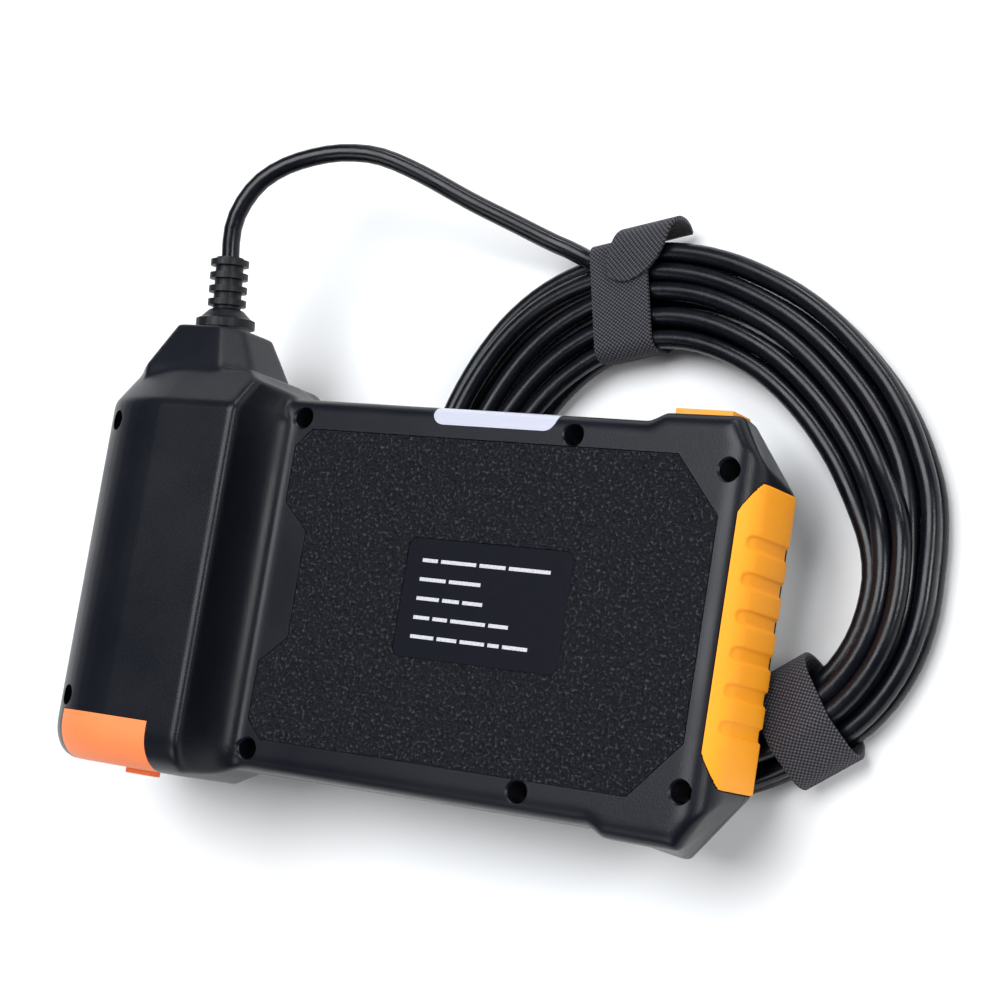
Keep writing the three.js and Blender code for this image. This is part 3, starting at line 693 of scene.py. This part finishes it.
def build_upper_tie():
    at = tie_frame(UPPER_ANGLE)
    path, tongue = upper_tie_paths()
    band, length = strip_mesh("upper_tie_band", path, full_width, tie_place(*at))
    points = resample(tongue, 26)
    tip = points[-1][0]

    def widths(i):
        reach = min(points[i][0] - tip, TIE_WIDTH / 2) if points[i][1] > 9 else TIE_WIDTH / 2
        half = math.sqrt(max(0.25, (TIE_WIDTH / 2) ** 2 - (TIE_WIDTH / 2 - max(0.05, reach)) ** 2))
        return -half, half

    flap, more = strip_mesh("upper_tie_tongue", points, widths, tie_place(*at, TONGUE_SLANT, TONGUE_SHIFT))
    finish_tie("upper_strap", join_meshes(band, flap), "upper_tie")


def build_lower_tie():
    slack = [(-7.2, 7.6, 5.6), (6.4, 5.6, 4.6), (-5.0, 4.0, 4.0)]  # where the cuff stands off
    loop = hull_round(strands_at(LOWER_ANGLE) + slack, 0.7)
    path = [tuple(point) for point in loop]
    path.append(path[0])
    band, length = strip_mesh("lower_tie_band", path, full_width, tie_place(*tie_frame(LOWER_ANGLE)))
    finish_tie("lower_strap", band, "lower_tie")


build_upper_tie()
build_lower_tie()

# ---- Handset forms ---------------------------------------------------------------------------
# Finer forms of the moulded parts, in millimetres on the handset's axes.
LENGTH = 180.5
PLATE = 23.0
BULGE = 39.0
WALL = 2.2
EDGE_ROUND = 3.5
END_ROUND = 7.0
PARTING = 5.5
SEAM = 0.3
HANDLE_LOW = 48.9
HANDLE_HIGH = 49.5
NECK_TOP = 61.2
PANEL_DEPTH = 1.2
SKIN = 1.2  # thickness of the window and the flap
RECESS = 1.5  # how deep the shell is cut for them
BOSS_RADIUS = 3.4
COUNTERBORE_RADIUS = 2.5
SCREW_HOLE_RADIUS = 1.6  # in the back half
PILOT_RADIUS = 1.5  # in the front half
PILOT_LOW = 1.3
GRAIN = 0.75  # voxel size of the outer form
TAB_GRAIN = 0.25
GRIP_GRAIN = (0.6, 0.28)  # of the band, then of the grooved grip

# Each screw's x and y, and the height of its seat.
SCREWS = [
    (58.4, 40, 13), (58.4, -40, 13), (134, 40, 13), (134, -40, 13),
    (174, 34.6, 12), (174, -34.6, 12), (10.8, 34.2, 22), (10.8, -34.0, 22),
]

# Front x, y, then back x, y, counter-clockwise from the handle's lower corner.
OUTLINE = [
    (0, -36, 0, -36), (0.9, -41.8, 0.9, -41.8), (3.6, -46.3, 3.6, -46.3),
    (8, -48.9, 8, -48.9), (37, -48.9, 47.5, -48.9), (42, -47.3, 51, -47.2),
    (46.5, -45.5, 55, -45), (150, -45.3, 151.5, -44.8), (154, -45.9, 153.3, -45.6),
    (158, -47.2, 155.5, -46.8), (168.2, -48.7, 174, -47), (180.5, -33.2, 180.5, -36.4),
    (180.5, 33.2, 180.5, 36.4), (168.2, 48.7, 174, 47), (158, 47.2, 155.5, 46.8),
    (154, 45.9, 153.3, 45.6), (150, 45.3, 151.5, 44.8), (53, 45.3, 54, 45),
    (48.6, 47, 49.2, 47.2), (45.5, 49.5, 46, 49.5), (6.4, 49.5, 6.4, 49.5),
    (0.7, 42, 0.7, 42), (0, 38, 0, 38),
]
PANEL_OUTLINE = [
    (57.6, -33), (61.8, -37.2), (161.2, -37.2), (172.9, -24.4), (172.9, 24.4), (161.2, 37.2),
    (61.8, 37.2), (57.6, 33), (57.6, 19.3), (65, 12.8), (65, -12.8), (57.6, -19.3),
]
# Each key's x, y and radius.
KEY_HOLES = [
    (27, 29, 4), (27, 12, 3.6), (27, -12, 3.6), (15.2, 0, 3.6), (38.8, 0, 3.6), (27, 0, 4.6),
    (17, -27, 3.8), (37, -27, 3.8),
]


GRIP = {"inner": 177, "corner": 25.8, "end": 180.4, "half": 33, "low": 1.8, "high": 40}
GROOVE = {"count": 6, "pitch": 7.95, "half": 1.6, "end": 180.5, "reach": 1.2}
GRIP_FACES = (-0.35, 0.35, 1.8)  # how far inside the case the grip's face, grooves and back are
WINDOW_BOX = ((95.6, 129), (40.4, 60), (12, 40))
FLAP_BOX = ((10.4, 40.4), (-60, -37.4), (15.6, 60))
TAB_BOX = ((21.4, 29.4), (-50.3, -48.1), (17.4, 21.4))
BUTTON_HOLE = ((155.2, 169.8), (8.0, 16.8))
LAMP_HOLE = ((99, 125.6), (38, 60), (14, 19.5))
PORT_HOLES = [((15.1, 23.7), (-60, -40), (17.4, 21.3)), ((24.7, 38.3), (-60, -40), (17.4, 20.3))]
GLAND = (24.5, 17.2, 4.2)  # x, z and radius
SCREEN_RECESS = ((59.7, 169.3), (-35.8, 35.8))
SCREEN_OPENING = ((64.5, 164.5), (-31, 31))
SCREEN_DEPTH = 1.3
SEAM_HALF = 0.12  # each shell's share of the parting seam


def outline_at(z):
    """The case's outline at a height: the front one, the back one, or a mix between them."""
    t = clamp((z - 4) / 15)
    return [(lerp(fx, bx, t), lerp(fy, by, t)) for fx, fy, bx, by in OUTLINE]


def inset_outline(points, inset):
    """Moves each edge of a counter-clockwise outline inwards."""
    count = len(points)
    edges = []
    for i, (x, y) in enumerate(points):
        way = Vector((points[(i + 1) % count][0] - x, points[(i + 1) % count][1] - y)).normalized()
        edges.append((Vector((x - way.y * inset, y + way.x * inset)), way))
    result = []
    for i in range(count):
        (a, da), (b, db) = edges[i - 1], edges[i]
        cross = da.x * db.y - da.y * db.x
        if abs(cross) < 1e-6:
            result.append((b.x, b.y))
            continue
        t = ((b.x - a.x) * db.y - (b.y - a.y) * db.x) / cross
        result.append((a.x + da.x * t, a.y + da.y * t))
    return result


def solid(name, points, faces):
    """A closed mesh object with its faces turned outwards."""
    mesh = bpy.data.meshes.new(name)
    form = bmesh.new()
    corners = [form.verts.new(point) for point in points]
    for face in faces:
        form.faces.new([corners[i] for i in face])
    bmesh.ops.triangulate(form, faces=[face for face in form.faces if len(face.verts) > 4])
    bmesh.ops.recalc_face_normals(form, faces=form.faces)
    form.to_mesh(mesh)
    form.free()
    made = bpy.data.objects.new(name, mesh)
    bpy.context.scene.collection.objects.link(made)
    return made


def rings(name, levels):
    """A closed form through rings of equal point counts."""
    count = len(levels[0])
    points = [point for level in levels for point in level]
    faces = [tuple(range(count)), tuple(range((len(levels) - 1) * count, len(levels) * count))]
    for level in range(len(levels) - 1):
        for i in range(count):
            j = (i + 1) % count
            near, far = level * count, (level + 1) * count
            faces.append((near + i, near + j, far + j, far + i))
    return solid(name, points, faces)


def prism(points, low, high, axis=2):
    """A prism of an x, y outline along z (axis 2), or of an x, z outline along y (axis 1)."""
    if axis == 2:
        return rings("prism", [[(x, y, level) for x, y in points] for level in (low, high)])
    return rings("prism", [[(x, level, z) for x, z in points] for level in (low, high)])


def block(x, y, z):
    return prism([(x[0], y[0]), (x[1], y[0]), (x[1], y[1]), (x[0], y[1])], *z)


def turned(x, y, stations, sides=48, axis=2):
    """A round form on an axis along z, or along y, through (height, radius) stations."""
    levels = []
    for height, radius in stations:
        ring = []
        for i in range(sides):
            angle = 2 * math.pi * i / sides
            a, b = radius * math.cos(angle), radius * math.sin(angle)
            ring.append((x + a, y + b, height) if axis == 2 else (x + a, height, y + b))
        levels.append(ring)
    return rings("round", levels)


def evaluated(made):
    """Applies an object's modifiers."""
    depsgraph = bpy.context.evaluated_depsgraph_get()
    mesh = bpy.data.meshes.new_from_object(made.evaluated_get(depsgraph))
    made.modifiers.clear()
    old, made.data = made.data, mesh
    bpy.data.meshes.remove(old)
    return made


def drop(*things):
    for thing in things:
        mesh = thing.data
        bpy.data.objects.remove(thing)
        bpy.data.meshes.remove(mesh)


def combine(base, operation, *tools, keep=False):
    """Joins or cuts base with each tool in turn, and drops the tools."""
    for tool in tools:
        modifier = base.modifiers.new("combine", "BOOLEAN")
        modifier.object = tool
        modifier.operation = operation
        modifier.solver = "MANIFOLD"
        evaluated(base)
    if not keep:
        drop(*tools)
    return base


def copied(made):
    twin = bpy.data.objects.new(made.name, made.data.copy())
    bpy.context.scene.collection.objects.link(twin)
    return twin


def rounded(made, voxel, passes):
    """Melts a form's edges: an even skin of small faces, smoothed."""
    remesh = made.modifiers.new("voxels", "REMESH")
    remesh.mode = "VOXEL"
    remesh.voxel_size = voxel
    relax = made.modifiers.new("relax", "SMOOTH")
    relax.factor = 0.5
    relax.iterations = passes
    return evaluated(made)


def end_profile(inset, steps=8):
    """The plate seen along y: open at the handle end, rounded at the grip end."""
    back = max(END_ROUND - inset, 0.5)
    front = max(EDGE_ROUND - inset, 0.5)
    x = LENGTH - inset
    top = PLATE - inset
    points = [(-20, inset)]
    for i in range(steps + 1):
        angle = -math.pi / 2 + math.pi / 2 * i / steps
        points.append((x - front + front * math.cos(angle), inset + front + front * math.sin(angle)))
    for i in range(steps + 1):
        angle = math.pi / 2 * i / steps
        points.append((x - back + back * math.cos(angle), top - back + back * math.sin(angle)))
    return points + [(-20, top)]


def plate_form(inset, steps=6):
    """The plate with rounded edges, set in by inset all round."""
    edge = max(EDGE_ROUND - inset, 0.4)
    arc = []
    for i in range(steps + 1):
        angle = math.pi / 2 * i / steps
        arc.append((inset + edge * (1 - math.sin(angle)), inset + edge * (1 - math.cos(angle))))
    arc.sort()
    levels = arc + [(PLATE - z, step) for z, step in reversed(arc)]
    outlines = [(z, inset_outline(outline_at(z), step)) for z, step in levels]
    plate = rings("plate", [[(x, y, z) for x, y in outline] for z, outline in outlines])
    return combine(plate, "INTERSECT", prism(end_profile(inset), -60, 60, axis=1))


def bezier(points, t):
    """A point on the Bezier curve of any number of points."""
    while len(points) > 1:
        points = [a.lerp(b, t) for a, b in zip(points, points[1:])]
    return points[0]


def bulge_line(inset, steps=14):
    """The handle's back seen along y: a crowned back, a ridge and a hollow flank."""
    top = BULGE - inset
    low = PLATE - 0.6 - inset
    pieces = [
        [(inset, 17), (inset, 28.5 - inset * 0.6), (9 + inset * 0.6, 38.5 - inset), (27, top)],
        [(27, top), (48.6 - inset, top)],
        [(48.6 - inset, top), (49.9 - inset, top), (50.2 - inset, 37.2 - inset)],
        [(50.2 - inset, 37.2 - inset), (50.9 - inset, 28), (53 - inset, low + 0.8), (57.5 - inset, low)],
    ]
    line = [Vector(pieces[0][0])]
    for piece in pieces:
        line += [bezier([Vector(point) for point in piece], (i + 1) / steps) for i in range(steps)]
    return line


def bulge_rows(inset, steps=12):
    """How far the back falls towards the handle's ends: a round one below, a slope above."""
    low_round, slope_start, slope = 9, 38.6, 0.86
    radius = low_round - inset
    rows = []
    for i in range(steps + 1):
        angle = math.pi / 2 * (1 - i / steps) * 0.97
        rows.append((-HANDLE_LOW + low_round - radius * math.sin(angle), radius * (1 - math.cos(angle))))
    start = slope_start - inset * 0.4
    rows += [(0, 0), (start, 0), (start + 1, slope * 0.5)]
    rows.append((HANDLE_HIGH - inset, slope * (HANDLE_HIGH - slope_start - inset * 0.6 - 0.5)))
    return rows


def bulge_form(inset):
    line = bulge_line(inset)
    levels = []
    for y, fall in bulge_rows(inset):
        ring = [(point.x, y, max(point.y - fall, 12)) for point in line]
        ring += [(point.x, y, 10) for point in reversed(line)]
        levels.append(ring)
    bulge = rings("bulge", levels)
    return combine(bulge, "INTERSECT", prism(inset_outline(outline_at(PLATE), inset), 5, 60))


def eight_sides(x, z, cut, y):
    corners = [
        (x[0] + cut, z[1]), (x[1] - cut, z[1]), (x[1], z[1] - cut), (x[1], z[0] + cut),
        (x[1] - cut, z[0]), (x[0] + cut, z[0]), (x[0], z[0] + cut), (x[0], z[1] - cut),
    ]
    return [(a, y, b) for a, b in corners]


def neck_form(inset):
    """The tapering neck that the cable comes out of."""
    wide = ((6.6 + inset, 42 - inset), (2.5 + inset, 30.6 - inset), 6.5)
    narrow = ((13 + inset, 34.6 - inset), (6 + inset, 26.2 - inset), 4.5)
    return rings("neck", [eight_sides(*wide, HANDLE_HIGH - 8), eight_sides(*wide, HANDLE_HIGH),
                          eight_sides(*narrow, NECK_TOP)])


def handset_form(inset):
    return combine(plate_form(inset), "UNION", bulge_form(inset), neck_form(inset))


def grip_region(extra):
    """The room at the grip end that the rubber takes up."""
    edge = GRIP["half"] + extra
    half = [(GRIP["inner"] - extra, GRIP["corner"] + extra / 2), (GRIP["end"] - extra, edge), (190, edge)]
    return prism([(x, -y) for x, y in half] + half[::-1], GRIP["low"] - extra, GRIP["high"])


def corner_round(x, y, radius, steps=6):
    """A rounded rectangle, counter-clockwise."""
    points = []
    centres = (
        (x[1] - radius, y[0] + radius), (x[1] - radius, y[1] - radius),
        (x[0] + radius, y[1] - radius), (x[0] + radius, y[0] + radius),
    )
    for corner, (cx, cy) in enumerate(centres):
        for i in range(steps + 1):
            angle = math.radians(-90 + 90 * corner + 90 * i / steps)
            points.append((cx + radius * math.cos(angle), cy + radius * math.sin(angle)))
    return points


def window_region(extra):
    x, y, z = WINDOW_BOX
    return prism(corner_round((x[0] - extra, x[1] + extra), (y[0] - extra, y[1]), 3), z[0] - extra, z[1])


def flap_region(extra):
    x, y, z = FLAP_BOX
    return block((x[0] - extra, x[1] + extra), (y[0], y[1] + extra), (z[0] - extra, z[1]))


def place_skin(made, name, node, body, material):
    """Moves a finished form to the row frame and lets it stand for its CAD node."""
    made.data.transform(Matrix.Scale(MM, 4) @ Matrix.Translation(-ORIGIN))
    made.name = name
    made.data.name = name
    made.data.materials.clear()
    made.data.materials.append(material)
    for polygon in made.data.polygons:
        polygon.use_smooth = True
    made.data.set_sharp_from_angle(angle=math.radians(38))
    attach(made, body)
    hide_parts(node)
    return made


def hollow_form():
    """The inside, less the screws' bosses."""
    bosses = [turned(x, y, [(1, BOSS_RADIUS), (38, BOSS_RADIUS)]) for x, y, _ in SCREWS]
    return combine(handset_form(WALL), "DIFFERENCE", *bosses)


def shell_form(outer):
    """The hollow case, both halves in one, with recesses for the grip, the flap and the window."""
    hollow = hollow_form()
    shallow = handset_form(RECESS)
    shell = combine(copied(outer), "DIFFERENCE", hollow)
    grip_recess = combine(grip_region(SEAM * 0.6), "DIFFERENCE", plate_form(1.9))
    flap_recess = combine(flap_region(SEAM * 0.6), "DIFFERENCE", copied(shallow))
    window_recess = combine(window_region(SEAM * 0.6), "DIFFERENCE", shallow)
    return combine(shell, "DIFFERENCE", grip_recess, flap_recess, window_recess)


def screw_cutters(x, y, seat):
    """A counterbore with a broken edge, and the hole below it."""
    top = PLATE if x > 50 else 60
    wide = COUNTERBORE_RADIUS + 0.8
    narrow = COUNTERBORE_RADIUS
    bore = [(seat, narrow), (top - 0.45, narrow), (top + 0.4, wide), (top + 1, wide)]
    hole = [(-1, SCREW_HOLE_RADIUS), (seat + 1, SCREW_HOLE_RADIUS)]
    return [turned(x, y, bore), turned(x, y, hole)]


def build_rear(shell):
    rear = combine(copied(shell), "INTERSECT", block((-10, 200), (-60, 70), (PARTING + SEAM_HALF, 50)))
    gland_x, gland_z, gland_radius = GLAND
    cutters = [
        prism(inset_outline(PANEL_OUTLINE, -0.22), PLATE - PANEL_DEPTH, PLATE + 3),
        block(*LAMP_HOLE),
        prism(corner_round(*BUTTON_HOLE, 0.8), 40, 60, axis=1),
        turned(gland_x, gland_z, [(40, gland_radius), (70, gland_radius)], axis=1),
    ]
    cutters += [block(*hole) for hole in PORT_HOLES]
    for screw in SCREWS:
        cutters += screw_cutters(*screw)
    combine(rear, "DIFFERENCE", *cutters)
    place_skin(rear, "rear_housing", "rear_shell", "handset", SHELL)


def build_front(shell):
    front = combine(shell, "INTERSECT", block((-10, 200), (-60, 70), (-1, PARTING - SEAM_HALF)))
    cutters = [
        prism(corner_round(*SCREEN_RECESS, 3), -1, SCREEN_DEPTH),
        prism(corner_round(*SCREEN_OPENING, 1), -1, 4),
    ]
    cutters += [turned(x, y, [(-1, radius + SEAM), (4, radius + SEAM)]) for x, y, radius in KEY_HOLES]
    cutters += [turned(x, y, [(PILOT_LOW, PILOT_RADIUS), (12, PILOT_RADIUS)]) for x, y, _ in SCREWS]
    combine(front, "DIFFERENCE", *cutters)
    place_skin(front, "front_housing", "front_shell", "handset", SHELL)


def build_window(outer):
    window = combine(copied(outer), "INTERSECT", window_region(0))
    combine(window, "DIFFERENCE", handset_form(SKIN))
    place_skin(window, "lamp_window", "top_window", "handset", WINDOW)


def build_flap(outer):
    """The rubber flap with its pull tab. It uses outer up."""
    flap = combine(outer, "INTERSECT", flap_region(0))
    combine(flap, "DIFFERENCE", handset_form(SKIN))
    combine(flap, "UNION", rounded(block(*TAB_BOX), TAB_GRAIN, 3))
    place_skin(flap, "port_cover", "port_flap", "flap", FLAP)


def groove_line(y):
    """One finger groove seen from the back: open at the grip's face, round at its inner end."""
    half = GROOVE["half"]
    points = [(190, y - half), (190, y + half)]
    for i in range(13):
        angle = math.pi / 2 + math.pi * i / 12
        x = GROOVE["end"] + GROOVE["reach"] * math.cos(angle)
        points.append((x, y + half * math.copysign(abs(math.sin(angle)) ** 0.6, math.sin(angle))))
    return points[::-1]


def build_grip():
    """The rubber grip: a soft band round the end with finger grooves."""
    face, floor, back = (plate_form(depth) for depth in GRIP_FACES)
    band = combine(rounded(face, GRIP_GRAIN[0], 8), "INTERSECT", grip_region(0))
    middle = (GROOVE["count"] - 1) / 2
    grooves = [prism(groove_line((i - middle) * GROOVE["pitch"]), -2, 30) for i in range(GROOVE["count"])]
    for groove in grooves:
        combine(groove, "DIFFERENCE", floor, keep=True)
    drop(floor)
    combine(band, "DIFFERENCE", *grooves, back)
    rounded(band, GRIP_GRAIN[1], 3)
    place_skin(band, "rubber_grip", "side_grip", "handset", GRIP_RUBBER)


def build_skins():
    outer = rounded(handset_form(0), GRAIN, 5)
    shell = shell_form(outer)
    build_rear(shell)
    build_front(shell)
    build_window(outer)
    build_flap(outer)
    build_grip()


build_skins()

# ---- Label ---------------------------------------------------------------------------------
# Rows of plain bars where print would be: height on the handset, then each bar's length, mm.
LABEL_ROWS = [
    (8.7, (4.2, 9.6, 7, 11)),
    (4.3, (7.2, 8.6)),
    (-0.1, (6.2, 4.6, 5.4)),
    (-4.5, (4.4, 4, 9.4, 5.2)),
    (-8.9, (6.4, 5.4, 6.6, 3, 6.6)),
]
BAR_START = 99.4
BAR_SPACE = 0.9
BAR_HEIGHT = 0.85
BAR_RAISED = 0.03
LABEL_TOP = 22.86  # the label plate's face


def bar_blocks():
    """A mesh of every row's bars."""
    form = bmesh.new()
    for level, lengths in LABEL_ROWS:
        start = BAR_START
        for length in lengths:
            middle = row(start + length / 2, level, LABEL_TOP)
            size = Matrix.Diagonal((length * MM, BAR_HEIGHT * MM, 2 * BAR_RAISED * MM, 1))
            bmesh.ops.create_cube(form, size=1, matrix=Matrix.Translation(middle) @ size)
            start += length + BAR_SPACE
    mesh = bpy.data.meshes.new("label_bars")
    form.to_mesh(mesh)
    form.free()
    return mesh


def build_label_bars():
    mesh = bar_blocks()
    bars = bpy.data.objects.new("label_bars", mesh)
    bpy.context.scene.collection.objects.link(bars)
    corner = bars.modifiers.new("corners", "BEVEL")
    corner.width = 0.3 * MM
    corner.segments = 3
    corner.affect = "EDGES"
    nodes = Nodes("label_ink", (0.62, 0.62, 0.64), 0.55)
    nodes.tint(nodes.ramp(nodes.noise(2600, 3), 0.4, 0.62, 0.0, 0.6), (0.3, 0.3, 0.32))
    nodes.bump(nodes.noise(3000, 2), 0.00001)
    mesh.materials.append(nodes.material)
    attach(bars, "handset")


build_label_bars()

# ---- Edges of the CAD nodes ------------------------------------------------------------------
EDGES = {
    "rear_panel": 0.25, "label_plate": 0.15, "top_button": 0.5,
    "cable_boot": 0.3, "camera_head": 0.15, "head_ferrule": 0.15,
}
for name, width in EDGES.items():
    soften(name, width)


# ---- Floor and lights ------------------------------------------------------------------------
FLOOR_SIZE = 60  # metres from the middle to an edge
FLOOR_GAP = 0.0002


def build_floor():
    mesh = bpy.data.meshes.new("floor")
    level = cad_box[0][2] - FLOOR_GAP
    corners = [(-1, -1), (1, -1), (1, 1), (-1, 1)]
    mesh.from_pydata([(FLOOR_SIZE * x, FLOOR_SIZE * y, level) for x, y in corners], [], [(0, 1, 2, 3)])
    floor = bpy.data.objects.new("floor", mesh)
    bpy.context.scene.collection.objects.link(floor)
    nodes = Nodes("floor_pale", (0.9, 0.9, 0.9), 0.9)
    mesh.materials.append(nodes.material)


def area_light(name, place, size, power):
    """A soft box aimed at the origin."""
    light = bpy.data.lights.new(name, "AREA")
    light.shape = "RECTANGLE"
    light.size, light.size_y = size
    light.energy = power
    lamp = bpy.data.objects.new(name, light)
    lamp.location = place
    lamp.rotation_euler = (-Vector(place)).to_track_quat("-Z", "Y").to_euler()
    bpy.context.scene.collection.objects.link(lamp)


def sun_light(name, source, angle, strength):
    """An even light from a wide patch of sky, angle degrees across."""
    light = bpy.data.lights.new(name, "SUN")
    light.angle = math.radians(angle)
    light.energy = strength
    light.color = (0.95, 0.975, 1.0)
    lamp = bpy.data.objects.new(name, light)
    lamp.rotation_euler = Vector(source).to_track_quat("Z", "Y").to_euler()
    bpy.context.scene.collection.objects.link(lamp)


def build_lights():
    world = bpy.data.worlds.new("studio")
    world.use_nodes = True
    world.node_tree.nodes["Background"].inputs[0].default_value = (0.82, 0.9, 1.0, 1)
    world.node_tree.nodes["Background"].inputs[1].default_value = 0.1
    bpy.context.scene.world = world
    sun_light("top_light", (-0.2, 0.5, 1.9), 42, 3.1)
    area_light("right_light", (1.2, 0.2, 0.72), (0.45, 0.35), 7)
    area_light("back_light", (0.3, 1.3, 0.5), (0.9, 0.25), 7)
    area_light("fill_light", (-0.3, -1.3, 1.3), (1.2, 0.8), 9)
    bpy.context.scene.view_settings.view_transform = "Standard"


build_floor()
build_lights()
